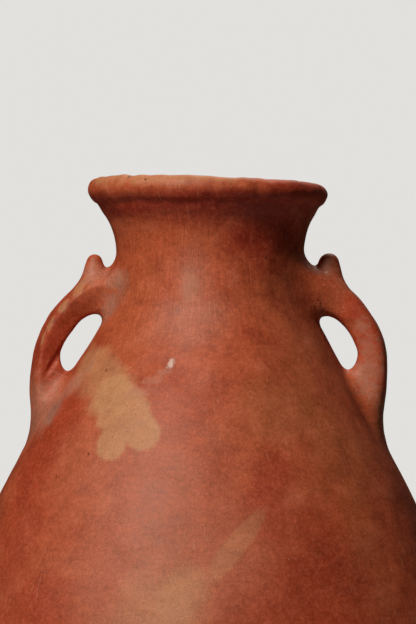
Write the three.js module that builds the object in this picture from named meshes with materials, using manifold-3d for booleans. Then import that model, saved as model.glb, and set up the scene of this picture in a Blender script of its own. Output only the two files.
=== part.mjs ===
// Hand-built red earthenware amphora: an egg-shaped jar with a short neck, a thick flared lip and two
// loop handles on the shoulder, each with a thumb knob on top.
//
// The pieces are the ones a potter makes and lutes together: a base disc, five wall courses, the neck,
// the lip coil, two handles and two knobs. Units are millimetres, +Z is up, and the origin is the centre
// of the flat underside. The handles lie along the X axis.

import * as THREE from "three";
import { mergeVertices } from "three/addons/utils/BufferGeometryUtils.js";
import Module from "manifold-3d";

const wasm = await Module();
wasm.setup();

// ---- Driving dimensions ---------------------------------------------------------------------------

const JOINT_GAP = 0.3; // left between two luted pieces
const WALL = 8; // thickness of the wall, square to its surface

// Outside of the wall as [height, radius], from the foot to the root of the lip.
const OUTLINE = [
  [0, 56],
  [14, 68],
  [60, 103],
  [122, 137],
  [213, 157.5],
  [290, 147],
  [362, 119.5],
  [405, 96],
  [440, 74],
  [466, 59.5],
  [486, 55.2],
  [503, 54.5],
  [518, 58],
  [530, 66],
];

// Height of the joint on top of each ring of the wall.
const JOINTS = { base: 14, foot: 78, lower: 160, belly: 262, shoulder: 362, collar: 448, neck: 523 };

const BASE = { thickness: 11, edgeRadius: 4, borderWidth: 6 };

// The lip is a thick coil that flares to its widest ring and then runs over a rounded top.
const LIP = {
  radius: 70,
  widestAt: 535.4,
  top: 541,
  innerRadius: 57.5,
  innerAt: 536,
  flare: [
    [66, 529],
    [68.8, 532.4],
  ],
};

// One handle, as stations from inside the neck to inside the shoulder. reach and height place the
// middle of the strap, thick is measured away from the pot and wide is measured around it.
const HANDLE = [
  { reach: 47, height: 478, thick: 36, wide: 42 },
  { reach: 58, height: 477, thick: 29, wide: 32 },
  { reach: 69, height: 474.5, thick: 23, wide: 25 },
  { reach: 80.5, height: 467, thick: 17.5, wide: 21 },
  { reach: 90.1, height: 454.5, thick: 15.5, wide: 20 },
  { reach: 94.5, height: 441.5, thick: 15.5, wide: 20 },
  { reach: 95.2, height: 428, thick: 18, wide: 22 },
  { reach: 92.4, height: 413, thick: 23.5, wide: 27 },
  { reach: 87.3, height: 397, thick: 31, wide: 34 },
];
const STRAP_SQUARENESS = 2.5; // exponent of the strap's section: 2 is an ellipse, more is squarer

// The two handles were pulled by hand, so they differ: the right one is stouter, with a blunter knob.
// Angles are in degrees, tip is the height of a knob's tip, and blunt is the tip's radius.
const HANDLES = [
  { side: "left", azimuth: 182, stoutness: 1, knob: { reach: 68, lean: -4.5, tip: 499, blunt: 4 } },
  { side: "right", azimuth: -4, stoutness: 1.16, knob: { reach: 71, lean: 1.5, tip: 499, blunt: 5.4 } },
];

// A knob's cone starts inside the strap. Its waist is where the straight side meets the round tip.
const KNOB = { rootHeight: 470, rootRadius: 10.5, waistRadius: 8.4, waistAt: 16 };

// Facets: how finely the round shapes are divided.
const WALL_SIDES = 48;
const WALL_ROW = 15; // tallest facet of the wall's outside
const NECK_ROW = 8; // the neck follows a tighter curve
const BASE_EDGE_STEPS = 3;
const LIP_STEPS = 8;
const HANDLE_RINGS = 22;
const HANDLE_SIDES = 16;
const KNOB_SIDES = 20;
const KNOB_TIP_STEPS = 4;

// ---- Outline of the wall ---------------------------------------------------------------------------

// Slope of the outline at control point i, in radius per unit of height.
function slopeAt(i) {
  const before = OUTLINE[Math.max(i - 1, 0)];
  const after = OUTLINE[Math.min(i + 1, OUTLINE.length - 1)];
  return (after[1] - before[1]) / (after[0] - before[0]);
}

// Radius of the outside of the wall at a height, on a smooth curve through the control points.
function outerRadius(height) {
  const last = OUTLINE.length - 2;
  let i = OUTLINE.findIndex((point) => point[0] > height) - 1;
  if (i < 0) i = height <= 0 ? 0 : last;
  const [z0, r0] = OUTLINE[i];
  const [z1, r1] = OUTLINE[i + 1];
  const span = z1 - z0;
  const t = (height - z0) / span;
  const [tt, ttt] = [t * t, t * t * t];
  return (
    (2 * ttt - 3 * tt + 1) * r0 +
    (ttt - 2 * tt + t) * span * slopeAt(i) +
    (3 * tt - 2 * ttt) * r1 +
    (ttt - tt) * span * slopeAt(i + 1)
  );
}

// Radius of a surface that lies a distance outside the wall, square to it. Inside is negative.
function offsetRadius(height, distance) {
  const slope = (outerRadius(height + 1) - outerRadius(height - 1)) / 2;
  return outerRadius(height) + distance * Math.hypot(1, slope);
}

function innerRadius(height) {
  return offsetRadius(height, -WALL);
}

// count + 1 values from start to end.
function divided(start, end, count) {
  return Array.from({ length: count + 1 }, (_, i) => start + ((end - start) * i) / count);
}

// Evenly spaced heights from start to end, no further apart than step.
function rows(start, end, step) {
  return divided(start, end, Math.ceil(Math.abs(end - start) / step));
}

// ---- Solids ----------------------------------------------------------------------------------------

// A profile of [radius, height] pairs, turned about Z. It closes on itself or runs from axis to axis.
function turned(profile, sides = WALL_SIDES) {
  const points = profile.map(([radius, height]) => new THREE.Vector2(radius, height));
  return new THREE.LatheGeometry(points, sides).rotateX(Math.PI / 2);
}

function closed(profile) {
  return [...profile, profile[0]];
}

// manifold-3d's solid for a closed three.js geometry.
function solidOf(geometry) {
  const bare = geometry.clone();
  bare.deleteAttribute("normal");
  bare.deleteAttribute("uv");
  const merged = mergeVertices(bare, 1e-4);
  const vertProperties = Float32Array.from(merged.attributes.position.array);
  const triVerts = Uint32Array.from(merged.index.array);
  return new wasm.Manifold(new wasm.Mesh({ numProp: 3, vertProperties, triVerts }));
}

// The three.js geometry of a manifold-3d solid.
function geometryOf(solid) {
  const mesh = solid.getMesh();
  const geometry = new THREE.BufferGeometry();
  geometry.setAttribute("position", new THREE.BufferAttribute(mesh.vertProperties, mesh.numProp));
  geometry.setIndex(new THREE.BufferAttribute(mesh.triVerts, 1));
  geometry.computeVertexNormals();
  return geometry;
}

// ---- Jar -------------------------------------------------------------------------------------------

// A flat disc with a rounded lower edge and a low raised border that the first course sits on.
function baseDisc() {
  const edgeCentre = outerRadius(0) - BASE.edgeRadius;
  const edge = divided(0, Math.PI / 2, BASE_EDGE_STEPS).map((turn) => [
    edgeCentre + BASE.edgeRadius * Math.sin(turn),
    BASE.edgeRadius * (1 - Math.cos(turn)),
  ]);
  const top = JOINTS.base - JOINT_GAP / 2;
  const border = innerRadius(JOINTS.base);
  return turned([
    [0, 0],
    ...edge,
    [outerRadius(top), top],
    [border, top],
    [border - BASE.borderWidth, BASE.thickness],
    [0, BASE.thickness],
  ]);
}

// One ring of wall between two joints, with flat joint faces. The inside has half as many rows.
function wallCourse(from, to, row = WALL_ROW) {
  const bottom = from + JOINT_GAP / 2;
  const top = to - JOINT_GAP / 2;
  const outside = rows(bottom, top, row).map((z) => [outerRadius(z), z]);
  const inside = rows(top, bottom, 2 * row).map((z) => [innerRadius(z), z]);
  return turned(closed([...outside, ...inside]));
}

// The lip coil: up the flare to the widest ring, over the rounded top, and back down the inside.
function lipCoil() {
  const bottom = JOINTS.neck + JOINT_GAP / 2;
  const middle = (LIP.radius + LIP.innerRadius) / 2;
  const half = (LIP.radius - LIP.innerRadius) / 2;
  const over = divided(0, Math.PI, LIP_STEPS).map((turn) => {
    const foot = LIP.widestAt + ((LIP.innerAt - LIP.widestAt) * turn) / Math.PI;
    return [middle + half * Math.cos(turn), foot + (LIP.top - foot) * Math.sin(turn)];
  });
  const root = [outerRadius(bottom), bottom];
  return turned(closed([root, ...LIP.flare, ...over, [innerRadius(bottom), bottom]]));
}

// The upper jar as if it were solid clay and a gap larger. It cuts the roots of what is luted on.
function jarCore() {
  const [low, high] = [JOINTS.belly, JOINTS.neck];
  const wall = rows(low, high, WALL_ROW / 2).map((z) => [offsetRadius(z, JOINT_GAP), z]);
  return solidOf(turned([[0, low], ...wall, [0, high]]));
}

// ---- Handles ---------------------------------------------------------------------------------------

// The strap of a handle that stands out along +X, swollen by grow on every side.
function strap(stoutness, grow) {
  const spine = new THREE.CatmullRomCurve3(
    HANDLE.map(({ reach, height }) => new THREE.Vector3(reach, 0, height)),
  );
  const sizes = new THREE.CatmullRomCurve3(
    HANDLE.map(({ thick, wide }) => new THREE.Vector3(thick * stoutness, wide * stoutness, 0)),
  );
  const across = new THREE.Vector3(0, 1, 0);
  const rings = divided(0, 1, HANDLE_RINGS).map((t) => {
    const middle = spine.getPoint(t);
    const outward = new THREE.Vector3().crossVectors(across, spine.getTangent(t)).normalize();
    const size = sizes.getPoint(t);
    return divided(0, 2 * Math.PI, HANDLE_SIDES)
      .slice(1)
      .map((turn) =>
        middle
          .clone()
          .addScaledVector(outward, (size.x / 2 + grow) * squared(Math.cos(turn)))
          .addScaledVector(across, (size.y / 2 + grow) * squared(Math.sin(turn))),
      );
  });
  return loft(rings);
}

// One coordinate of the strap's softly squared section, from the cosine or sine of the turn.
function squared(value) {
  return Math.sign(value) * Math.abs(value) ** (2 / STRAP_SQUARENESS);
}

// A solid through rings of points that follow each other, with a flat cap on each end.
function loft(rings) {
  const sides = rings[0].length;
  const last = (rings.length - 1) * sides;
  const index = [];
  for (let start = 0; start < last; start += sides) {
    for (let side = 0; side < sides; side++) {
      const [a, b] = [start + side, start + ((side + 1) % sides)];
      const [c, d] = [a + sides, b + sides];
      index.push(a, b, c, b, d, c);
    }
  }
  for (let side = 1; side + 1 < sides; side++) {
    index.push(0, side + 1, side);
    index.push(last, last + side, last + side + 1);
  }
  const geometry = new THREE.BufferGeometry().setFromPoints(rings.flat());
  return solidOf(geometry.setIndex(index));
}

function handle({ azimuth, stoutness }) {
  return geometryOf(strap(stoutness, 0).rotate([0, 0, azimuth]).subtract(jarCore()));
}

// A blunt cone that stands on the strap, cut to sit on it and clear of the neck.
function thumbKnob({ azimuth, stoutness, knob }) {
  const tipCentre = knob.tip - KNOB.rootHeight - knob.blunt;
  const profile = [
    [0, 0],
    [KNOB.rootRadius, 0],
    [KNOB.waistRadius, KNOB.waistAt],
  ];
  for (const turn of divided(0, Math.PI / 2, KNOB_TIP_STEPS).slice(1, -1)) {
    profile.push([knob.blunt * Math.cos(turn), tipCentre + knob.blunt * Math.sin(turn)]);
  }
  profile.push([0, tipCentre + knob.blunt]);
  const seated = solidOf(turned(profile, KNOB_SIDES))
    .rotate([0, knob.lean, 0])
    .translate([knob.reach, 0, KNOB.rootHeight])
    .subtract(strap(stoutness, JOINT_GAP));
  return geometryOf(seated.rotate([0, 0, azimuth]).subtract(jarCore()));
}

// ---- Assembly --------------------------------------------------------------------------------------

function fired(color, roughness) {
  return new THREE.MeshStandardMaterial({ color, roughness, metalness: 0 });
}

const amphora = new THREE.Group();

function add(name, geometry, material) {
  const mesh = new THREE.Mesh(geometry, material);
  mesh.name = name;
  amphora.add(mesh);
}

add("base_disc", baseDisc(), fired(0xa5583c, 0.75));
add("foot_course", wallCourse(JOINTS.base, JOINTS.foot), fired(0xa8573b, 0.6));
add("lower_course", wallCourse(JOINTS.foot, JOINTS.lower), fired(0xab5a3e, 0.55));
add("belly_course", wallCourse(JOINTS.lower, JOINTS.belly), fired(0xb2654a, 0.5));
add("shoulder_course", wallCourse(JOINTS.belly, JOINTS.shoulder), fired(0xb56a4d, 0.5));
add("collar_course", wallCourse(JOINTS.shoulder, JOINTS.collar), fired(0xb36146, 0.5));
add("neck", wallCourse(JOINTS.collar, JOINTS.neck, NECK_ROW), fired(0xa84c33, 0.55));
add("lip_coil", lipCoil(), fired(0xad6a4c, 0.6));
for (const pulled of HANDLES) {
  add(`${pulled.side}_handle`, handle(pulled), fired(0x9c4a34, 0.55));
  add(`${pulled.side}_thumb_knob`, thumbKnob(pulled), fired(0xa5644a, 0.6));
}

export default amphora;
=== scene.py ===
# Looks of a hand-built red earthenware amphora, made around its imported frame.
#
# Each piece is rebuilt as a fine mesh in place of its CAD node. The wall is one turned sheet, warped as a
# hand-built jar is and then split at its joints. Handles and knobs are surfaces of distance fields, so
# that their roots run smoothly into the wall. The clays are procedural, in object space: one for each
# material slot name and one for the neck, whose slot name is that of the burnished clay.
# Lengths are in metres, azimuths are in degrees about +Z from +X, and the viewer stands at -Y.

import math

import bpy
import numpy as np
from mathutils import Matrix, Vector
from mathutils.bvhtree import BVHTree


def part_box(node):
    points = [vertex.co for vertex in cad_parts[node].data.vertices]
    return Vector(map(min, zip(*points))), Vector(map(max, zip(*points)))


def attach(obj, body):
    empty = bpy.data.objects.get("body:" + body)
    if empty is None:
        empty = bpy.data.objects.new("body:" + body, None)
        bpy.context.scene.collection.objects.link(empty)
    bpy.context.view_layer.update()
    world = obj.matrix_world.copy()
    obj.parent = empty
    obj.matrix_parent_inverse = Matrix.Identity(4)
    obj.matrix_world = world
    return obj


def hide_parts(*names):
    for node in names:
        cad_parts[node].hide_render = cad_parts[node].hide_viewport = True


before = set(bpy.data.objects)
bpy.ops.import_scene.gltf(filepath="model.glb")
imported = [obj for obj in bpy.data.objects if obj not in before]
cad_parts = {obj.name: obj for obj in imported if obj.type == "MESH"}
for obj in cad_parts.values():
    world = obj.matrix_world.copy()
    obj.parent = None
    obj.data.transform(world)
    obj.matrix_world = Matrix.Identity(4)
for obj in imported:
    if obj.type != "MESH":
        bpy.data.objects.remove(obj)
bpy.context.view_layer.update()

MM = 0.001

# ---- Driving dimensions ---------------------------------------------------------------------------

STACK = [
    "base_disc", "foot_course", "lower_course", "belly_course",
    "shoulder_course", "collar_course", "neck", "lip_coil",
]
SLOTS = {"base_disc": "foot_clay", "lip_coil": "rim_clay"}
JOINTS = [(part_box(low)[1].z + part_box(high)[0].z) / 2 for low, high in zip(STACK, STACK[1:])]

SIDES = 400  # points around the wall
OUTER_ROW = 2.2 * MM  # height of one row of faces outside
INNER_ROW = 5 * MM
FLOOR = 11 * MM  # thickness of the base
# Rounded edge of the underside, as offsets from the foot's radius and the ground.
FOOT_EDGE = np.array([(-7, 0), (-3.4, 0.5), (-1, 2), (0, 4.5)]) * MM
FOOT_EDGE_TOP = FOOT_EDGE[-1, 1]
# Rounded corner inside, as distances in from the wall and up from the floor.
INNER_CORNER = np.array([(3, 1.2), (9, 0)]) * MM

# Lip, as offsets from its widest radius and its top, from the neck's outside over to its inside.
LIP_OFFSETS = np.array([
    (-5.2, -12.6), (-2.5, -10.4), (-0.6, -7.6), (0, -4.8), (-1.1, -2.3), (-3.2, -0.7), (-5.8, 0),
    (-8.6, -0.3), (-11.0, -2.0), (-12.7, -5.2), (-14.3, -9.5),
]) * MM

# How the jar stands out of true.
LEAN = 2.4 * MM  # of the neck, towards +X
LEAN_FROM, LEAN_TO = 400 * MM, 455 * MM
LIP_RETURN = 1.5 * MM  # the lip leans less than the neck
LIP_FROM, LIP_TO = 505 * MM, 540 * MM
LIP_TILT = 0.033  # slope of the lip, down towards +X
LIP_HANG = 2.6 * MM  # how much lower the lip's underside hangs where the lip is thickest
LIP_THICKEST = 215  # azimuth
LIP_TILTED_FROM = 532 * MM  # the whole tilt is reached here
HANG_DEPTHS = (0, 7 * MM, 11 * MM, 26 * MM)  # below the top: the hang grows, is full, is full, and ends

# Bumps in the clay, as height, distance apart and seed.
WALL_BUMPS = [(0.55 * MM, 75 * MM, 1), (0.16 * MM, 24 * MM, 2)]
RIM_BUMPS = [(0.2 * MM, 11 * MM, 6)]
STRAP_BUMPS = [(0.22 * MM, 26 * MM, 3), (0.07 * MM, 9 * MM, 4)]
KNOB_BUMPS = [(0.15 * MM, 12 * MM, 5)]
FLAT_FOOT = 25 * MM  # the bumps grow from nothing over this height
RIM_FROM, RIM_TO = 522 * MM, 530 * MM

# Handle stations: reach, height, thick (away from the pot) and wide (around the pot).
HANDLE = np.array([
    (47, 478, 34, 40),
    (58, 477, 27, 31),
    (69, 474.5, 21, 24),
    (80.5, 467, 16.5, 20.5),
    (90.1, 454.5, 15.5, 20),
    (94.8, 441.5, 15.5, 20),
    (94.4, 428, 19.6, 22),
    (91.6, 413, 23.5, 27),
    (86.5, 397, 29, 34),
]) * MM
HANDLE_STEPS = 14  # samples between two stations
ROOT_SQUARENESS = 3.0  # exponent of the strap's section at its roots
ROOT_SAMPLES = 2.5 * HANDLE_STEPS  # over these the section changes from the root's to the strap's
HANDLE_FILLET = 10 * MM
KNOB_ROOT = 478 * MM  # height that each knob starts from
HANDLES = {
    "left": {
        "azimuth": 182, "stoutness": 0.88, "squareness": 5.5, "twist": 17, "creased": True,
        "knob": {
            "reach": 68.5 * MM, "lean": -0.7 * MM, "root": 8.6 * MM, "tip": 498.8 * MM, "blunt": 4.6 * MM,
        },
        "knob_fillet": 6 * MM,
    },
    "right": {
        "azimuth": -4, "stoutness": 1.08, "squareness": 3.0, "twist": -4, "creased": False,
        "knob": {
            "reach": 69.5 * MM, "lean": 0, "root": 9.9 * MM, "tip": 499.3 * MM, "blunt": 6.1 * MM,
        },
        "knob_fillet": 4.5 * MM,
    },
}

# The crease where the left strap's lower end was pressed on, as reach and height at its two ends.
CREASE = np.array([(84.5, 446), (95, 428)]) * MM
CREASE_DEPTH = 3.2 * MM
CREASE_WIDTH = 1.5 * MM
CREASE_SIDE = (3.5 * MM, 8.5 * MM)  # across the strap, from where it starts to where it is deepest
CREASE_FADE = 0.8  # how much of its depth it has lost at its lower end
CELL = 1.0 * MM  # spacing of the handles' surface points
# How far outside its CAD box a piece is looked for. The root of the right strap reaches lower than this,
# so its mesh is left open there, inside the clay of the wall.
STRAP_ROOM = 12 * MM
KNOB_ROOM = 24 * MM
EMBED = 1.5 * MM  # how deep a luted piece reaches into what it sits on
SINK = 0.06 * MM  # how far the thin edge of a fillet dips below the surface that it runs into
PULLS = 3  # steps that bring the points of a surface onto it
LEAST_SLOPE = 0.3  # squared slope below which a step is held back

# ---- Shape in numbers -----------------------------------------------------------------------------


def smooth(value, low, high):
    """0 below low, 1 above high, and smooth between them."""
    share = np.clip((value - low) / (high - low), 0, 1)
    return share * share * (3 - 2 * share)


def through(points, steps):
    """A smooth curve through points, with that many steps between each two."""
    points = np.asarray(points, float)
    ends = np.vstack([2 * points[0] - points[1], points, 2 * points[-1] - points[-2]])
    t = np.linspace(0, 1, steps, endpoint=False)[:, None]
    curve = []
    for a, b, c, d in zip(ends, ends[1:], ends[2:], ends[3:]):
        bend = 2 * a - 5 * b + 4 * c - d + t * (3 * (b - c) + d - a)
        curve.append(b + t / 2 * (c - a + t * bend))
    return np.vstack(curve + [points[-1:]])


def swell(points, apart, seed, waves=36):
    """A smooth random field, mostly between -1 and 1, whose bumps lie about that far apart."""
    rng = np.random.default_rng(seed)
    heading = rng.normal(size=(waves, 3))
    heading /= np.linalg.norm(heading, axis=1, keepdims=True)
    turns = heading * (2 * np.pi / apart) * rng.uniform(0.6, 1.4, (waves, 1))
    phase = rng.uniform(0, 2 * np.pi, waves)
    return np.cos(points @ turns.T + phase).sum(axis=1) / math.sqrt(waves)


def bumps(points, sizes):
    """How far bumps of those sizes stand proud."""
    return sum(height * swell(points, apart, seed) for height, apart, seed in sizes)


def lean(height):
    """How far the axis of the jar has wandered towards +X at a height."""
    return LEAN * smooth(height, LEAN_FROM, LEAN_TO) - LIP_RETURN * smooth(height, LIP_FROM, LIP_TO)


def unevenness(points):
    """How far the hand-smoothed wall stands proud of its true shape. The underside is flat."""
    height = points[:, 2]
    rim = smooth(height, RIM_FROM, RIM_TO) * bumps(points, RIM_BUMPS)
    return smooth(height, 0, FLAT_FOOT) * bumps(points, WALL_BUMPS) + rim


# ---- The wall -------------------------------------------------------------------------------------


def wall_tree():
    """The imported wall, to send rays at."""
    vertices, faces = [], []
    for name in STACK:
        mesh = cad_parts[name].data
        start = len(vertices)
        vertices += [vertex.co.copy() for vertex in mesh.vertices]
        faces += [[start + i for i in polygon.vertices] for polygon in mesh.polygons]
    return BVHTree.FromPolygons(vertices, faces)


def rounded(values, spread=5):
    """values with their facets smoothed away, over about that many neighbours."""
    reach = 3 * spread
    weights = np.exp(-0.5 * (np.arange(-reach, reach + 1) / spread) ** 2)
    padded = np.pad(values, reach, mode="reflect", reflect_type="odd")
    return np.convolve(padded, weights / weights.sum(), mode="valid")


def measured(tree, start, towards, low, high):
    """Heights, and the wall's radius at each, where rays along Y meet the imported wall."""
    heights, radii = [], []
    for height in np.arange(low, high, MM):
        hit = tree.ray_cast(Vector((0, start, height)), Vector((0, towards, 0)))[0]
        if hit is not None and hit.y < 0:
            heights.append(height)
            radii.append(-hit.y)
    return np.array(heights), rounded(np.array(radii))


tree = wall_tree()
LIP_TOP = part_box("lip_coil")[1].z
LIP_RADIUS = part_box("lip_coil")[1].x
MEASURED_TO = LIP_TOP - 12 * MM  # above this the lip has a section of its own
outer_heights, outer_radii = measured(tree, -1, 1, FOOT_EDGE_TOP, MEASURED_TO)
inner_heights, inner_radii = measured(tree, 0, -1, JOINTS[0] + 0.5 * MM, MEASURED_TO)
outer_slopes = np.gradient(outer_radii, outer_heights)


def outside(height):
    return np.interp(height, outer_heights, outer_radii)


def inside(height):
    return np.interp(height, inner_heights, inner_radii)


def band(radius_at, start, end, row):
    """Rows of the section, as radius and height, from one joint to the next."""
    heights = np.linspace(start, end, math.ceil(abs(end - start) / row) + 1)
    return np.column_stack([radius_at(heights), heights])


def base_bands():
    """The outside of the base from its centre to the first joint, and its inside back to the centre."""
    foot = outer_radii[0]
    flat = [(0, 0), (foot * 0.3, 0), (foot * 0.6, 0)]
    edge = through(FOOT_EDGE + (foot, 0), 3)
    up = band(outside, FOOT_EDGE_TOP, JOINTS[0], OUTER_ROW)
    border = inside(JOINTS[0])
    corner = [(border - across, FLOOR + up_by) for across, up_by in INNER_CORNER]
    down = through([(border, JOINTS[0]), *corner], 3)
    floor = [(border * 0.5, FLOOR), (border * 0.25, FLOOR), (0, FLOOR)]
    return np.vstack([flat, edge, up[1:]]), np.vstack([down, floor])


def lip_band():
    """The lip's section, from the neck's outside over the top to the neck's inside."""
    joint = JOINTS[-1]
    rim = LIP_OFFSETS + (LIP_RADIUS, LIP_TOP)
    root = [(outside(joint), joint)]
    foot = [(inside(joint), joint)]
    return through(np.vstack([root, rim, foot]), 5)


def section():
    """All bands of the section in order, from under the base up the outside, and down the inside."""
    base_outside, base_inside = base_bands()
    steps = list(zip(JOINTS, JOINTS[1:]))
    outer = [band(outside, low, high, OUTER_ROW) for low, high in steps]
    inner = [band(inside, high, low, INNER_ROW) for low, high in reversed(steps)]
    return [base_outside, *outer, lip_band(), *inner, base_inside]


def turned(rows):
    """The section turned about Z and displaced as a hand-built wall is, as rows of points."""
    along = np.gradient(rows, axis=0)
    normal = np.column_stack([along[:, 1], -along[:, 0]])
    normal /= np.linalg.norm(normal, axis=1, keepdims=True)
    turn = np.radians(np.arange(SIDES) * 360 / SIDES)
    circle = np.column_stack([np.cos(turn), np.sin(turn)])
    points = np.concatenate(
        [rows[:, None, :1] * circle, np.repeat(rows[:, None, 1:], SIDES, axis=1)], axis=2
    )
    normals = np.concatenate(
        [normal[:, None, :1] * circle, np.repeat(normal[:, None, 1:], SIDES, axis=1)], axis=2
    )
    proud = unevenness(points.reshape(-1, 3)).reshape(points.shape[:2])
    points += normals * proud[..., None]
    points[..., 0] += lean(points[..., 2])
    return settled(points)


def settled(points):
    """The lip as it set: tilted, and hanging lower on its front left."""
    x, y, z = np.moveaxis(points, -1, 0)
    lip = smooth(z, LIP_FROM, LIP_TILTED_FROM)
    azimuth = np.arctan2(y, x)
    below = LIP_TOP - z
    grows, full, fades, ends = HANG_DEPTHS
    lower_half = smooth(below, grows, full) * smooth(below, ends, fades)
    z -= lip * LIP_TILT * x
    z -= LIP_HANG * lower_half * (0.5 + 0.5 * np.cos(azimuth - math.radians(LIP_THICKEST)))
    return points


def sheet_normals(points):
    """Outward normals of the sheet, the same on both sides of every joint."""
    around = np.roll(points, -1, axis=1) - np.roll(points, 1, axis=1)
    along = np.gradient(points, axis=0)
    normals = np.cross(around, along)
    normals[0] = (0, 0, -1)
    normals[-1] = (0, 0, 1)
    return normals / np.linalg.norm(normals, axis=2, keepdims=True)


def new_object(name, vertices, faces, normals, material, flat_from=None):
    """A mesh object with those vertex normals. Faces from flat_from on are flat and keep their own."""
    mesh = bpy.data.meshes.new(name)
    mesh.from_pydata(vertices.tolist(), [], faces)
    mesh.shade_smooth()
    corners = np.zeros(len(mesh.loops), np.int64)
    mesh.loops.foreach_get("vertex_index", corners)
    directions = normals[corners]
    for polygon in mesh.polygons[flat_from or len(faces):]:
        polygon.use_smooth = False
        directions[polygon.loop_start:polygon.loop_start + polygon.loop_total] = 0
    mesh.normals_split_custom_set(directions.tolist())
    mesh.materials.append(material)
    piece = bpy.data.objects.new(name, mesh)
    bpy.context.scene.collection.objects.link(piece)
    return piece


def wall_piece(name, sheets, material):
    """A closed piece of wall through one or two sheets of the section, with a flat face at each joint."""
    vertices, normals, rings = [], [], []
    for points, directions in sheets:
        for ring, ring_normals in zip(points, directions):
            count = 1 if np.ptp(ring, axis=0).max() < CELL else SIDES  # a pole is one vertex
            rings.append([len(vertices) + k % count for k in range(SIDES)])
            vertices.extend(ring[:count])
            normals.extend(ring_normals[:count])
    skin = list(zip(rings, rings[1:]))
    joints = [skin.pop(len(sheets[0][0]) - 1)] if len(sheets) == 2 else []
    if rings[0][0] != rings[0][1]:
        joints.append((rings[-1], rings[0]))
    faces = [face for low, high in skin for face in strip(low, high)]
    joint_faces = [face for low, high in joints for face in strip(low, high)]
    return new_object(
        name, np.array(vertices), faces + joint_faces, np.array(normals), material, len(faces)
    )


def strip(low, high):
    """Faces between two rings of vertex numbers. Next to a pole they are triangles."""
    for k in range(SIDES):
        n = (k + 1) % SIDES
        yield list(dict.fromkeys((low[k], low[n], high[n], high[k])))


def wall_pieces(material_of):
    """Every piece of the wall by name, split at the joints from one seamless sheet."""
    bands = section()
    rows = np.vstack([bands[0]] + [band_rows[1:] for band_rows in bands[1:]])
    ends = np.cumsum([len(bands[0]) - 1] + [len(band_rows) - 1 for band_rows in bands[1:]])
    starts = np.concatenate([[0], ends[:-1]])
    points = turned(rows)
    normals = sheet_normals(points)
    sheets = [(points[a:b + 1], normals[a:b + 1]) for a, b in zip(starts, ends)]
    pieces = {}
    for i, node in enumerate(STACK):
        both = [sheets[i]] if node == "lip_coil" else [sheets[i], sheets[-1 - i]]
        pieces[node] = wall_piece(f"{node}_fired", both, material_of(node))
    return pieces


# ---- Handles and knobs ----------------------------------------------------------------------------


def fused(first, second, fillet):
    """The distance to two shapes joined with a fillet."""
    share = np.clip(0.5 + 0.5 * (second - first) / fillet, 0, 1)
    return second + (first - second) * share - fillet * share * (1 - share)


def upright(points):
    """Points moved back to where they would be on a jar that stands true."""
    return points - np.outer(lean(points[:, 2]), (1, 0, 0))


def wall(points):
    """Distance from the outside of the wall."""
    true = upright(points)
    height = true[:, 2]
    slope = np.interp(height, outer_heights, outer_slopes)
    return (np.hypot(true[:, 0], true[:, 1]) - outside(height)) / np.hypot(1, slope) - unevenness(true)


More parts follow.
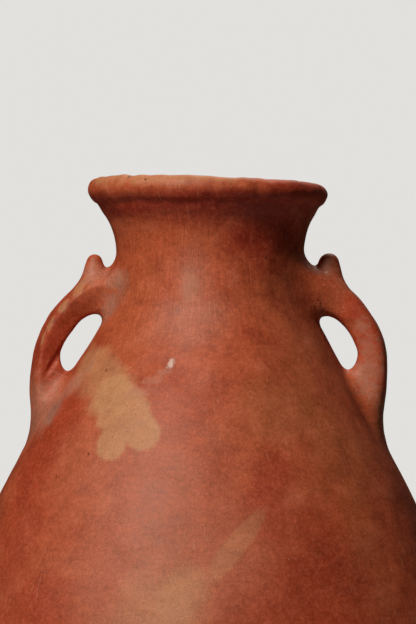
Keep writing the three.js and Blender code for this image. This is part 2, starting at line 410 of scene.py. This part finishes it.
class Handle:
    """The strap and the knob of one handle, as distances from their surfaces."""

    def __init__(self, azimuth, stoutness, squareness, twist, creased, knob, knob_fillet):
        self.azimuth = math.radians(azimuth)
        self.creased = creased
        self.squareness = squareness
        self.twist = math.radians(twist)
        self.knob_sizes = knob
        self.knob_fillet = knob_fillet
        stations = through(HANDLE, HANDLE_STEPS)
        self.spine = stations[:, :2]
        self.half = stations[:, 2:] * stoutness / 2
        along = np.gradient(self.spine, axis=0)
        self.spacing = np.linalg.norm(along, axis=1)
        self.along = along / self.spacing[:, None]
        self.outward = np.column_stack([-self.along[:, 1], self.along[:, 0]])

    def local(self, points):
        """Reach away from the jar's axis, distance across the handle's plane, and height."""
        true = upright(points)
        c, s = math.cos(self.azimuth), math.sin(self.azimuth)
        return true[:, 0] * c + true[:, 1] * s, true[:, 1] * c - true[:, 0] * s, true[:, 2]

    def nearest(self, flat):
        """The number of the spine sample nearest to each point of the handle's plane."""
        found = []
        for some in np.array_split(flat, len(flat) // 20000 + 1):
            gap = ((some[:, None] - self.spine) ** 2).sum(axis=2)
            found.append(gap.argmin(axis=1))
        return np.concatenate(found)

    def strap(self, points):
        reach, across, height = self.local(points)
        flat = np.column_stack([reach, height])
        i = self.nearest(flat)
        gap = flat - self.spine[i]
        off = (gap * self.outward[i]).sum(axis=1)
        station = i + np.clip((gap * self.along[i]).sum(axis=1) / self.spacing[i], -0.5, 0.5)
        numbers = np.arange(len(self.spine))
        thick, wide = (np.interp(station, numbers, self.half[:, k]) for k in (0, 1))
        c, s = math.cos(self.twist), math.sin(self.twist)
        out, aside = off * c + across * s, across * c - off * s
        from_root = np.minimum(station, numbers[-1] - station)
        own_section = smooth(from_root, 0, ROOT_SAMPLES)
        power = ROOT_SQUARENESS + (self.squareness - ROOT_SQUARENESS) * own_section
        away = np.hypot(out, aside) + 1e-9
        share = (np.abs(out / thick) ** power + np.abs(aside / wide) ** power) ** (1 / power) + 1e-9
        return away - away / share - bumps(points, STRAP_BUMPS) + self.crease(flat, across)

    def crease(self, flat, across):
        """How deep the crease is pressed. It is on the side that the strap is twisted towards."""
        if not self.creased:
            return 0
        start, end = CREASE
        run = end - start
        share = np.clip((flat - start) @ run / (run @ run), 0, 1)
        gap = np.linalg.norm(flat - start - share[:, None] * run, axis=1)
        fade = smooth(across, *CREASE_SIDE) * (1 - CREASE_FADE * smooth(share, 0.5, 1))
        return CREASE_DEPTH * fade * np.exp(-((gap / CREASE_WIDTH) ** 2))

    def knob(self, points):
        reach, across, height = self.local(points)
        k = self.knob_sizes
        length = k["tip"] - k["blunt"] - KNOB_ROOT
        up = height - KNOB_ROOT
        out = np.hypot(reach - k["reach"] - k["lean"] * up / length, across)
        narrowing = (k["root"] - k["blunt"]) / length
        flank = math.sqrt(1 - narrowing ** 2)
        along = up * flank - out * narrowing
        side = out * flank + up * narrowing - k["root"]
        tip = np.hypot(out, up - length) - k["blunt"]
        root = np.hypot(out, up) - k["root"]
        rounded_cone = np.where(along < 0, root, np.where(along > flank * length, tip, side))
        return rounded_cone - bumps(points, KNOB_BUMPS)

    def luted_strap(self, points):
        """The wall and the strap together, as deep as the skin of the strap's own piece lies."""
        return fused(wall(points), self.strap(points), HANDLE_FILLET) + SINK


def isosurface(field, low, high, cell):
    """Vertices and quads of the surface where field is 0: one vertex in each grid cell that it crosses."""
    axes = [np.arange(a, b, cell) for a, b in zip(low, high)]
    shape = tuple(len(axis) for axis in axes)
    values = field(np.stack(np.meshgrid(*axes, indexing="ij"), axis=-1).reshape(-1, 3)).reshape(shape)
    solid = values < 0
    cells = tuple(n - 1 for n in shape)
    total, count = np.zeros(cells + (3,)), np.zeros(cells)
    for axis in range(3):
        u, v = [other for other in range(3) if other != axis]
        near = [slice(None)] * 3
        far = [slice(None)] * 3
        near[axis], far[axis] = slice(None, -1), slice(1, None)
        first, second = values[tuple(near)], values[tuple(far)]
        crosses = (first < 0) != (second < 0)
        share = np.where(crosses, first / np.where(crosses, first - second, 1), 0)
        for du in (0, 1):
            for dv in (0, 1):
                edge = [slice(None)] * 3
                edge[u], edge[v] = slice(du, du + cells[u]), slice(dv, dv + cells[v])
                hit = crosses[tuple(edge)]
                count += hit
                total[..., axis] += share[tuple(edge)] * hit
                total[..., u] += du * hit
                total[..., v] += dv * hit
    crossed = count > 0
    index = np.full(cells, -1)
    index[crossed] = np.arange(crossed.sum())
    corner = np.argwhere(crossed)
    points = np.asarray(low) + cell * (corner + total[crossed] / count[crossed][:, None])
    quads = []
    for turn in ((0, 1, 2), (1, 2, 0), (2, 0, 1)):
        full, number = solid.transpose(turn), index.transpose(turn)
        here, there = full[:-1, 1:-1, 1:-1], full[1:, 1:-1, 1:-1]
        ring = np.stack(
            [number[:, :-1, :-1], number[:, 1:, :-1], number[:, 1:, 1:], number[:, :-1, 1:]], axis=-1
        )
        quads += [ring[here & ~there], ring[~here & there][:, ::-1]]
    return points, np.concatenate(quads)


def gradient(field, points):
    step = 0.05 * MM
    sides = [field(points + axis) - field(points - axis) for axis in np.eye(3) * step]
    return np.stack(sides, axis=1) / (2 * step)


def luted_piece(name, base, piece, fillet, low, high, material):
    """The solid of a piece luted on a base, with its fillet and a shallow root in the base."""

    def skin(points):
        return fused(base(points), piece(points), fillet) + SINK

    def body(points):
        under, over = base(points), piece(points)
        outer = fused(under, over, fillet) + SINK
        return np.maximum(np.maximum(outer, -(under + EMBED)), over - fillet)

    points, quads = isosurface(body, low, high, CELL)
    for _ in range(PULLS):
        slope = gradient(body, points)
        steepness = np.maximum((slope ** 2).sum(axis=1), LEAST_SLOPE)
        pull = body(points)[:, None] * slope / steepness[:, None]
        points = points - np.clip(pull, -CELL / 3, CELL / 3)
    normals = gradient(skin, points)
    normals /= np.linalg.norm(normals, axis=1, keepdims=True)
    normals[np.abs(skin(points)) > SINK] = 0
    return new_object(name, points, quads.tolist(), normals, material)


def handle_pieces(material_of):
    """The strap and the knob of each handle by node name."""
    pieces = {}
    for side, sizes in HANDLES.items():
        handle = Handle(**sizes)
        luted = {
            f"{side}_handle": (wall, handle.strap, HANDLE_FILLET, STRAP_ROOM),
            f"{side}_thumb_knob": (handle.luted_strap, handle.knob, handle.knob_fillet, KNOB_ROOM),
        }
        for node, (base, piece, fillet, room) in luted.items():
            low, high = (np.array(corner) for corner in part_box(node))
            pieces[node] = luted_piece(
                f"{node}_fired", base, piece, fillet, low - room, high + room, material_of(node)
            )
    return pieces


# ---- Clay -----------------------------------------------------------------------------------------


def paint(red, green, blue):
    """A linear colour from 0 to 255 sRGB levels."""
    levels = (level / 255 for level in (red, green, blue))
    return tuple(v / 12.92 if v <= 0.04045 else ((v + 0.055) / 1.055) ** 2.4 for v in levels) + (1,)


RED = paint(184, 78, 44)  # burnished body colour
ORANGE = paint(188, 92, 56)
ROSE = paint(192, 108, 80)  # paler pink: random blotches and flecks, and painted sheen on the front left
DEEP_RED = paint(158, 48, 28)
SCARLET = paint(196, 70, 40)
CRIMSON_SHADE = paint(152, 36, 18)  # deep red: painted shade on the neck under the lip, and on the lip's lower half, there partly its own colour
# dark smoky red: smoke on the left side, painted shade on the right side
SMOKE_AND_SHADE = paint(116, 48, 30)
OCHRE = paint(203, 148, 106)  # fire clouds, and the painted highlight along the left strap's ridge
UMBER = paint(172, 94, 55)
ASHY = paint(196, 138, 116)  # dried slip smeared about the handle roots
GREY = paint(166, 130, 116)
# pale: a white speck on the body, and the painted highlight at the right knob's base
CHALK_AND_HIGHLIGHT = paint(228, 200, 188)
GRIT = paint(214, 160, 126)
PIT = paint(58, 24, 16)
# tan of wear on the lip's top, also painted highlight there
WORN_AND_LIT_TAN = paint(204, 142, 100)

# Marks in the clay, as azimuth, height, half width and half height in mm, tilt down to the right, and the
# distance from the jar's axis where they are not on the wall.
SHOULDER_CLOUD = [
    (-126, 420, 14, 11, 30), (-119.5, 410, 18, 14, 20), (-110, 399, 10, 10, 20), (-117, 402, 12, 9, 0),
    (-119.8, 394.5, 9.5, 12, -6),
]
SHOULDER_HAZE = [(-144, 431, 26, 13, 24), (-131, 423, 20, 14, 30)]
STREAK_CLOUD = [(-83, 342, 5.5, 24, 42), (-95, 318, 12, 18, 30)]
LOW_CLOUD = [(-100, 306, 20, 26, 0), (-104, 285, 30, 26, 0)]
BROWN_CLOUD = [(-58, 410, 28, 22, 20), (-44, 388, 28, 30, 0)]
# Painted sheen: a paler pink laid over the front left of the body and the neck, where the key light's
# sheen falls.
ROSE_AND_SHEEN_ZONE = [(-112, 372, 50, 40, 0), (-104, 330, 62, 44, 0), (-98, 482, 9, 20, 0), (-99, 462, 22, 14, 0)]
RED_ZONE = [
    (-72, 374, 12, 20, 25), (-67, 350, 18, 14, 0), (-64, 320, 32, 26, -15), (-66, 280, 44, 40, 0),
]
SIDE_RED = [(-150, 395, 20, 40, 0), (-146, 330, 26, 60, 0), (-132, 300, 30, 30, 0)]
# Smoke darkens the left side by the left handle; the patch on the right side is painted shade, where the
# body turns away from the key light.
SOOT_AND_SHADE_ZONE = [(-172, 330, 30, 60, 0), (-10, 330, 50, 70, 0)]
ASHY_ROOTS = [
    (-163, 468, 6, 10, 20), (-160, 484, 8, 6, 0), (-163, 410, 14, 15, 0), (-156, 424, 10, 7, 0),
    (188, 408, 13, 18, 0, 98), (189, 488, 7, 8, 0, 66),
    (-4, 425, 10, 14, 0, 96), (-4, 446, 8, 12, 0, 98), (-4, 405, 12, 12, 0, 98),
]
GREY_SMEARS = [(-152, 480, 7, 8, 0), (-158, 468, 6, 6, 0), (-160, 408, 8, 8, 0), (-150, 434, 4, 3, 0)]
# Painted highlight: a tan strip along the left strap's outer ridge, which faces the key light.
RIDGE_HIGHLIGHT = [
    (188, 481, 5, 7, 0, 76.5), (187.5, 472, 4, 7, 0, 85), (187, 462, 3.6, 8, 0, 93),
    (186.5, 452, 3.2, 8, 0, 98), (186, 441, 2.6, 8, 0, 102),
]
LEFT_STRAP = [(182, 460, 16, 18, 0, 84), (182, 442, 16, 18, 0, 92)]
RIGHT_STRAP = [(-6, 466, 14, 9, 30, 88), (-6, 450, 12, 14, 0, 98), (-6, 430, 9, 14, 0, 103)]
RIGHT_ASH = [
    (-10, 456, 3.5, 5, 0, 92), (-10, 445, 4.5, 6, 0, 95), (-10, 432, 7, 7, 0, 95), (-10, 420, 6, 9, 0, 93),
    (-9, 491, 6, 5, 0, 70),
]
# Painted highlight: a pale line along the lit top edge of the right knob's root.
KNOB_BASE_HIGHLIGHT = [(-9, 487.5, 6, 0.9, 15, 71)]
# Painted shade: deep red on the neck under the lip, where the lip's shadow falls.
NECK_SHADE_UNDER_LIP = [(-84, 524, 46, 9, 0), (-50, 512, 30, 20, 0), (-140, 523, 34, 4, 0)]
# The lip's darker lower half: partly its own deeper red, partly painted shade on the underside of the
# roll.
LIP_TONE_AND_SHADE = [(-90, 528, 70, 4.5, 0), (-30, 534, 34, 7, 0), (-160, 530, 34, 4, 0)]
# Tan on the top of the lip's front left: partly wear, partly painted highlight where the key light falls.
LIP_WEAR_AND_HIGHLIGHT = [(-124, 542, 34, 5, 3), (-95, 541, 24, 3.5, 2), (-152, 541, 12, 4, 0)]
CHALK_SPOT = [(-105, 436.4, 1.7, 2.7, 12)]
ASH_SPOTS = [(-111, 427.6, 6, 2.4, -20), (-107, 432, 4, 2, 0), (-116, 421, 8, 3, 0), (-99, 480, 5, 9, 0)]
BODY_PITS = [(-136, 432.5, 0.6, 0.6, 0), (-52.6, 495.5, 0.6, 1.1, 0), (-127, 387.5, 0.6, 0.6, 0)]
RIM_PITS = [(-131, 541, 0.8, 0.6, 0), (-120, 539, 0.7, 0.5, 0)]
RIM_GRIT = [(-66, 541, 1.2, 0.9, 0), (-47, 539.5, 1.1, 0.8, 0), (-40, 538.5, 0.9, 0.7, 0)]

MARK_DEPTH = 6  # least reach of a mark through the wall, in mm
STRAP_MARK_DEPTH = 1.2  # reach of a mark through a strap, as a share of its smaller half size
MARK_FILLET = 0.35  # how smoothly neighbouring marks join
GIRTH_RADIUS = 110 * MM  # radius at which lengths round the jar are true

# Layers of each clay, as marks, colour, share, raggedness of the edge, its size in mm, and its softness.
ROOT_LAYERS = [
    (SIDE_RED, DEEP_RED, 0.45, 0.9, 22, 0.9),
    # smoke on the left, painted shade on the right
    (SOOT_AND_SHADE_ZONE, SMOKE_AND_SHADE, 0.35, 0.9, 20, 0.8),
    (ASHY_ROOTS, ASHY, 0.55, 0.9, 6, 0.9),
    (GREY_SMEARS, GREY, 0.35, 1.1, 4, 0.9),
]
LAYERS = {
    "burnished_clay": [
        # painted sheen
        (ROSE_AND_SHEEN_ZONE, ROSE, 0.8, 0.5, 50, 1.3),
        (RED_ZONE, DEEP_RED, 0.5, 0.6, 26, 0.9),
        (BROWN_CLOUD, UMBER, 0.6, 0.8, 30, 1.4),
        (LOW_CLOUD, OCHRE, 0.45, 0.5, 25, 1.0),
        (STREAK_CLOUD, OCHRE, 0.32, 0.3, 16, 0.45),
        (SHOULDER_HAZE, OCHRE, 0.65, 0.5, 14, 0.6),
        (SHOULDER_CLOUD, OCHRE, 0.8, 0.3, 10, 0.3),
        *ROOT_LAYERS,
    ],
    "neck_clay": [
        # painted sheen
        (ROSE_AND_SHEEN_ZONE, ROSE, 0.8, 0.5, 50, 1.3),
        # painted shade under the lip
        (NECK_SHADE_UNDER_LIP, CRIMSON_SHADE, 0.75, 0.6, 12, 1.2),
        *ROOT_LAYERS,
    ],
    "rim_clay": [
        # painted shade under the lip
        (NECK_SHADE_UNDER_LIP, CRIMSON_SHADE, 0.75, 0.6, 12, 1.2),
        # own deeper red and painted shade
        (LIP_TONE_AND_SHADE, CRIMSON_SHADE, 0.6, 0.6, 9, 1.0),
        # wear and painted highlight
        (LIP_WEAR_AND_HIGHLIGHT, WORN_AND_LIT_TAN, 0.7, 0.9, 7, 1.0),
    ],
    "handle_clay": [
        (LEFT_STRAP, DEEP_RED, 0.5, 0.5, 9, 0.8),
        (RIGHT_STRAP, SCARLET, 0.7, 0.5, 9, 0.8),
        # painted highlight
        (RIDGE_HIGHLIGHT, OCHRE, 0.6, 0.5, 8, 0.5),
        *ROOT_LAYERS,
    ],
    "foot_clay": [],
}
SPOTS = {
    "burnished_clay": [
        (ASH_SPOTS, ASHY, 0.4, 1.2, 2.5, 0.9),
        (CHALK_SPOT, CHALK_AND_HIGHLIGHT, 0.85, 1.2, 1.8, 1.0),
        (BODY_PITS, PIT, 0.85, 0.2, 2, 0.5),
    ],
    # the second layer is a painted highlight
    "handle_clay": [(RIGHT_ASH, ASHY, 0.42, 1.6, 3, 1.3), (KNOB_BASE_HIGHLIGHT, CHALK_AND_HIGHLIGHT, 0.5, 0.5, 2, 0.8)],
    "neck_clay": [(ASH_SPOTS, ASHY, 0.4, 1.2, 2.5, 0.9), (BODY_PITS, PIT, 0.85, 0.2, 2, 0.5)],
    "rim_clay": [(RIM_PITS, PIT, 0.85, 0.2, 2, 0.5), (RIM_GRIT, GRIT, 0.7, 0.3, 1.5, 0.6)],
}


NECK_STARTS = (425 * MM, 470 * MM)  # the vertical streaks grow over these heights
NECK_ENDS = (534 * MM, 520 * MM)  # and fade out again, read downwards


class Clay:
    """The node tree of one clay material, with a short method for each kind of node."""

    def __init__(self, name):
        self.material = bpy.data.materials.new(name)
        self.material.use_nodes = True
        self.tree = self.material.node_tree
        self.shader = self.tree.nodes["Principled BSDF"]
        self.place = self.node("ShaderNodeTexCoord").outputs["Object"]

    def node(self, kind, sockets=None, **settings):
        made = self.tree.nodes.new(kind)
        for key, value in settings.items():
            setattr(made, key, value)
        for key, value in (sockets or {}).items():
            if isinstance(value, bpy.types.NodeSocket):
                self.tree.links.new(value, made.inputs[key])
            else:
                made.inputs[key].default_value = value
        return made

    def math(self, operation, *values):
        return self.node("ShaderNodeMath", dict(enumerate(values)), operation=operation).outputs[0]

    def total(self, *values):
        result = values[0]
        for value in values[1:]:
            result = self.math("ADD", result, value)
        return result

    def noise(self, apart, detail=2.0, where=None, roughness=0.5):
        """Noise about 0.5 whose features lie about that far apart."""
        sockets = {"Scale": 1 / apart, "Detail": detail, "Roughness": roughness}
        sockets["Vector"] = where or self.place
        return self.node("ShaderNodeTexNoise", sockets).outputs[0]

    def rise(self, value, low, high):
        """0 at low, 1 at high, and smooth between them."""
        sockets = {"Value": value, "From Min": low, "From Max": high}
        made = self.node("ShaderNodeMapRange", sockets, interpolation_type="SMOOTHSTEP")
        return made.outputs["Result"]

    def mix(self, share, under, over, blend="MIX"):
        sockets = {0: share, 6: under, 7: over}
        return self.node("ShaderNodeMix", sockets, data_type="RGBA", blend_type=blend).outputs[2]

    def scaled(self, share, amount):
        return self.math("MULTIPLY", share, amount)

    def stretched(self, around, up):
        """Coordinates that run round the jar and up it, each stretched by its own factor."""
        split = self.node("ShaderNodeSeparateXYZ", {0: self.place})
        x, y, z = split.outputs
        flat = self.node("ShaderNodeCombineXYZ", {0: x, 1: y, 2: 0.0}).outputs[0]
        circle = self.node("ShaderNodeVectorMath", {0: flat}, operation="NORMALIZE").outputs[0]
        wide = self.node("ShaderNodeVectorMath", {0: circle, 3: GIRTH_RADIUS / around}, operation="SCALE")
        high = self.node("ShaderNodeCombineXYZ", {0: 0.0, 1: 0.0, 2: self.scaled(z, 1 / up)}).outputs[0]
        return self.node("ShaderNodeVectorMath", {0: wide.outputs[0], 1: high}, operation="ADD").outputs[0]

    def height(self):
        return self.node("ShaderNodeSeparateXYZ", {0: self.place}).outputs[2]

    def patch(self, marks, ragged, apart, edge):
        """1 inside the marks, 0 outside, with an edge that noise makes ragged."""
        reach = None
        for azimuth, height, wide, high, tilt, *distance in marks:
            turn = math.radians(azimuth)
            radius = distance[0] * MM if distance else float(outside(height * MM))
            through_strap = min(wide, high) * STRAP_MARK_DEPTH
            deep = through_strap if distance else max(wide, high, MARK_DEPTH)
            sockets = {
                "Vector": self.place,
                "Location": (radius * math.cos(turn), radius * math.sin(turn), height * MM),
                "Rotation": (0, math.radians(tilt), turn + math.pi / 2),
                "Scale": (wide * MM, deep * MM, high * MM),
            }
            local = self.node("ShaderNodeMapping", sockets, vector_type="TEXTURE").outputs[0]
            own = self.node("ShaderNodeVectorMath", {0: local}, operation="LENGTH").outputs["Value"]
            reach = own if reach is None else self.math("SMOOTH_MIN", reach, own, MARK_FILLET)
        wander = self.math("MULTIPLY_ADD", self.noise(apart, 3), 2 * ragged, -ragged)
        return self.rise(self.total(reach, wander), 1 + edge / 2, 1 - edge / 2)

    def layered(self, colour, layers):
        """The colour with those layers over it."""
        for marks, over, share, ragged, apart, edge in layers:
            mask = self.patch(marks, ragged, apart * MM, edge)
            colour = self.mix(self.scaled(mask, share), colour, over)
        return colour

    def specks(self, apart, size, share):
        """1 in small round specks. They lie about that far apart, in that share of the places."""
        found = self.node("ShaderNodeTexVoronoi", {"Vector": self.place, "Scale": 1 / apart})
        chosen = self.node("ShaderNodeSeparateColor", {0: found.outputs["Color"]}).outputs[0]
        picked = self.math("LESS_THAN", chosen, share)
        spot = self.rise(found.outputs["Distance"], size / apart, 0.5 * size / apart)
        return self.math("MULTIPLY", spot, picked)


def clay(name, worn):
    """Burnished red clay. worn is how much its scratches show."""
    c = Clay(name)

    # Broad patches of colour, and the marks that lie in them, among them painted sheen, painted highlights
    # and painted shade.
    clouds = c.noise(80 * MM, 4)
    blotches = c.noise(24 * MM, 4, roughness=0.6)
    fleck = c.noise(2.2 * MM, 3, roughness=0.7)
    colour = c.mix(c.rise(clouds, 0.35, 0.65), RED, ORANGE)
    colour = c.mix(c.scaled(c.rise(blotches, 0.5, 0.75), 0.5), colour, ROSE)
    colour = c.mix(c.scaled(c.rise(blotches, 0.5, 0.3), 0.4), colour, DEEP_RED)
    colour = c.layered(colour, LAYERS[name])
    colour = c.mix(c.scaled(c.rise(fleck, 0.45, 0.65), 0.22), colour, ROSE)

    # Light and dark streaks, up and down the neck and round the body, and the grain of the clay.
    above = c.rise(c.height(), *NECK_STARTS)
    neck_only = c.math("MULTIPLY", above, c.rise(c.height(), *NECK_ENDS))
    patchy = c.noise(30 * MM, 3)
    up_streaks = c.noise(1.5 * MM, 3, c.stretched(1, 9), 0.65)
    round_streaks = c.noise(1.7 * MM, 3, c.stretched(10, 1), 0.65)
    grain = c.noise(0.9 * MM, 3, roughness=0.7)
    mottle = c.noise(12 * MM, 5, roughness=0.65)
    vertical = c.math("MULTIPLY", c.total(up_streaks, -0.5), c.scaled(neck_only, 0.36))
    level = c.math("MULTIPLY", c.total(round_streaks, -0.5), c.scaled(c.rise(patchy, 0.35, 0.7), 0.2))
    shade = c.total(
        0.5, vertical, level, c.scaled(c.total(grain, -0.5), 0.55),
        c.scaled(c.total(fleck, -0.5), 0.36), c.scaled(c.total(mottle, -0.5), 0.4),
    )
    grey = c.node("ShaderNodeCombineColor", {0: shade, 1: shade, 2: shade}).outputs[0]
    colour = c.mix(1.0, colour, grey, "OVERLAY")

    # Scratches, grit, pits and small spots, with a painted highlight line at the right knob's base.
    scratches = c.math("MULTIPLY", c.rise(up_streaks, 0.62, 0.72), c.rise(patchy, 0.45, 0.62))
    colour = c.mix(c.scaled(scratches, worn), colour, GRIT)
    light_grit = c.specks(6 * MM, 0.5 * MM, 0.3)
    colour = c.mix(c.scaled(light_grit, 0.55), colour, GRIT)
    pits = c.specks(17 * MM, 0.5 * MM, 0.2)
    colour = c.mix(c.scaled(pits, 0.85), colour, PIT)
    colour = c.layered(colour, SPOTS.get(name, []))
    c.tree.links.new(colour, c.shader.inputs["Base Color"])

    # Sheen and relief.
    rough = c.total(0.38, c.scaled(mottle, 0.16), c.scaled(grain, 0.16), c.scaled(pits, 0.3))
    c.tree.links.new(rough, c.shader.inputs["Roughness"])
    c.shader.inputs["Specular IOR Level"].default_value = 0.36

    strokes = c.noise(7 * MM, 2, c.stretched(2.6, 1))
    relief = c.total(
        c.scaled(strokes, 0.34), c.scaled(c.math("MULTIPLY", up_streaks, neck_only), 0.07),
        c.scaled(round_streaks, 0.04), c.scaled(grain, 0.08), c.scaled(fleck, 0.08),
        c.scaled(mottle, 0.2), c.scaled(pits, -0.5), c.scaled(light_grit, 0.08),
    )
    bump = c.node("ShaderNodeBump", {"Height": relief, "Distance": MM, "Strength": 1.0})
    c.tree.links.new(bump.outputs[0], c.shader.inputs["Normal"])
    return c.material


# ---- Stage, lights and camera ---------------------------------------------------------------------

# The photograph's camera looks level along +Y. Its lens is in mm.
EYE_DISTANCE = 1.2236
EYE_HEIGHT = 0.465
EYE_SIDE = 1.17 * MM
LENS = 120.5
SENSOR = 36  # width in mm

FLOOR_RADIUS = 0.9
FLOOR_SIDES = 96
FLOOR_SOLID = 0.3  # share of the radius over which the floor is solid before it fades
FLOOR_COLOUR = (0.72, 0.71, 0.68, 1)
BACKDROP = (0.76, 0.75, 0.73, 1)  # seen behind the jar
SURROUNDINGS = (0.75, 0.8, 0.7, 1)  # light on the jar from all round
SURROUNDINGS_STRENGTH = 0.02

WHITE = (1, 1, 1)
WARM = (1, 0.9, 0.78)
LIT_POINT = (0, 0, 0.4)
# Lights, as name, place, diameter, power in watts and colour.
LIGHTS = [
    ("key", (-0.8, -1.3, 1.74), 0.45, 32.5, WARM),
    ("fill", (1.3, -1.2, 0.7), 1.2, 0.15, WHITE),
    ("back", (0.3, 1.2, 2.2), 1.6, 19, WARM),
]


def aim(thing, target):
    thing.rotation_euler = (Vector(target) - thing.location).to_track_quat("-Z", "Y").to_euler()


def add_camera():
    data = bpy.data.cameras.new("camera")
    data.lens = LENS
    data.sensor_width = SENSOR
    camera = bpy.data.objects.new("camera", data)
    camera.location = (EYE_SIDE, -EYE_DISTANCE, EYE_HEIGHT)
    camera.rotation_euler = (math.pi / 2, 0, 0)
    bpy.context.scene.collection.objects.link(camera)
    bpy.context.scene.camera = camera


def add_light(name, location, size, power, colour):
    data = bpy.data.lights.new(name, "AREA")
    data.shape = "DISK"
    data.size = size
    data.energy = power
    data.color = colour
    light = bpy.data.objects.new(name, data)
    light.location = location
    bpy.context.scene.collection.objects.link(light)
    aim(light, LIT_POINT)


def add_world():
    """A faint light from all round, with a pale backdrop where the camera looks past the jar."""
    world = bpy.data.worlds.new("studio")
    world.use_nodes = True
    nodes, links = world.node_tree.nodes, world.node_tree.links
    dim = nodes["Background"]
    dim.inputs["Color"].default_value = SURROUNDINGS
    dim.inputs["Strength"].default_value = SURROUNDINGS_STRENGTH
    pale = nodes.new("ShaderNodeBackground")
    pale.inputs["Color"].default_value = BACKDROP
    rays = nodes.new("ShaderNodeLightPath")
    pick = nodes.new("ShaderNodeMixShader")
    links.new(rays.outputs["Is Camera Ray"], pick.inputs[0])
    links.new(dim.outputs[0], pick.inputs[1])
    links.new(pale.outputs[0], pick.inputs[2])
    links.new(pick.outputs[0], nodes["World Output"].inputs["Surface"])
    bpy.context.scene.world = world


def add_floor():
    """A pale disc that fades into the backdrop."""
    material = bpy.data.materials.new("floor")
    material.use_nodes = True
    nodes, links = material.node_tree.nodes, material.node_tree.links
    shader = nodes["Principled BSDF"]
    shader.inputs["Base Color"].default_value = FLOOR_COLOUR
    place = nodes.new("ShaderNodeTexCoord")
    away = nodes.new("ShaderNodeVectorMath")
    away.operation = "LENGTH"
    fade = nodes.new("ShaderNodeMapRange")
    fade.interpolation_type = "SMOOTHSTEP"
    fade.inputs["From Min"].default_value = FLOOR_RADIUS
    fade.inputs["From Max"].default_value = FLOOR_SOLID * FLOOR_RADIUS
    links.new(place.outputs["Object"], away.inputs[0])
    links.new(away.outputs["Value"], fade.inputs["Value"])
    links.new(fade.outputs["Result"], shader.inputs["Alpha"])
    turn = [2 * math.pi * k / FLOOR_SIDES for k in range(FLOOR_SIDES)]
    edge = [(FLOOR_RADIUS * math.cos(t), FLOOR_RADIUS * math.sin(t), 0) for t in turn]
    mesh = bpy.data.meshes.new("floor")
    mesh.from_pydata(edge, [], [list(range(FLOOR_SIDES))])
    mesh.materials.append(material)
    floor = bpy.data.objects.new("floor", mesh)
    bpy.context.scene.collection.objects.link(floor)


# ---- Assembly -------------------------------------------------------------------------------------

bpy.context.scene.view_settings.view_transform = "Standard"
# How much the scratches of each clay show.
WEAR = {"burnished_clay": 0.35, "neck_clay": 0.5, "rim_clay": 0.6, "handle_clay": 0.4, "foot_clay": 0.5}
CLAYS = {name: clay(name, worn) for name, worn in WEAR.items()}


def slot_of(node):
    return SLOTS.get(node, "burnished_clay" if node in STACK else "handle_clay")


def material_of(node):
    """The neck has a clay of its own, though its slot name is that of the burnished clay."""
    return CLAYS["neck_clay" if node == "neck" else slot_of(node)]


pieces = wall_pieces(material_of) | handle_pieces(material_of)
for node, piece in pieces.items():
    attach(piece, "root")
    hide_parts(node)
    slot_of(node)

add_world()
add_floor()
for light in LIGHTS:
    add_light(*light)
add_camera()
